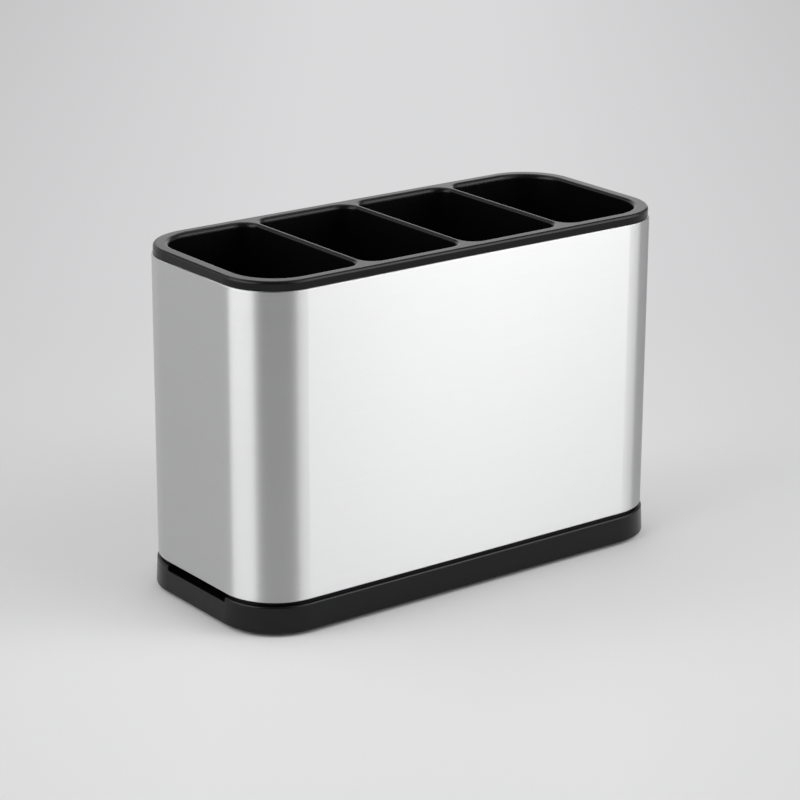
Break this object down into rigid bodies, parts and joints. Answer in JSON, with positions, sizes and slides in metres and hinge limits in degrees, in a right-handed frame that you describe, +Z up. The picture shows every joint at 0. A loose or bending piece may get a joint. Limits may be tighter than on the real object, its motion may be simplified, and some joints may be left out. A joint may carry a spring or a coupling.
{
  "type": "cutlery drainer",
  "caption": "Rounded rectangular brushed steel cutlery drainer with a black compartment insert that lifts out and a black drip-tray base with pour slots.",
  "frame": {"origin": "on the worktop, under the centre of the footprint", "axes": "+X along the long side, +Y towards the rear long face, +Z up out of the compartments"},
  "size_m": [0.2322, 0.1022, 0.1593],
  "materials": {
    "tray_plastic": "fine matt moulded",
    "foot_rubber": "soft matt",
    "sleeve_steel": "brushed round the sleeve",
    "insert_plastic": "satin moulded"
  },
  "bodies": {
    "base": {"base_tray": "tray_plastic", "foot_front_left": "foot_rubber", "foot_front_right": "foot_rubber", "foot_rear_left": "foot_rubber", "foot_rear_right": "foot_rubber"},
    "sleeve": {"steel_sleeve": "sleeve_steel"},
    "insert": {"insert": "insert_plastic"}
  },
  "joints": [
    {"name": "sleeve_lift", "type": "slide", "parent": "base", "child": "sleeve", "axis": [0, 0, 1], "range_m": [0, 0.04]},
    {"name": "insert_lift", "type": "slide", "parent": "sleeve", "child": "insert", "axis": [0, 0, 1], "range_m": [0, 0.15]}
  ]
}
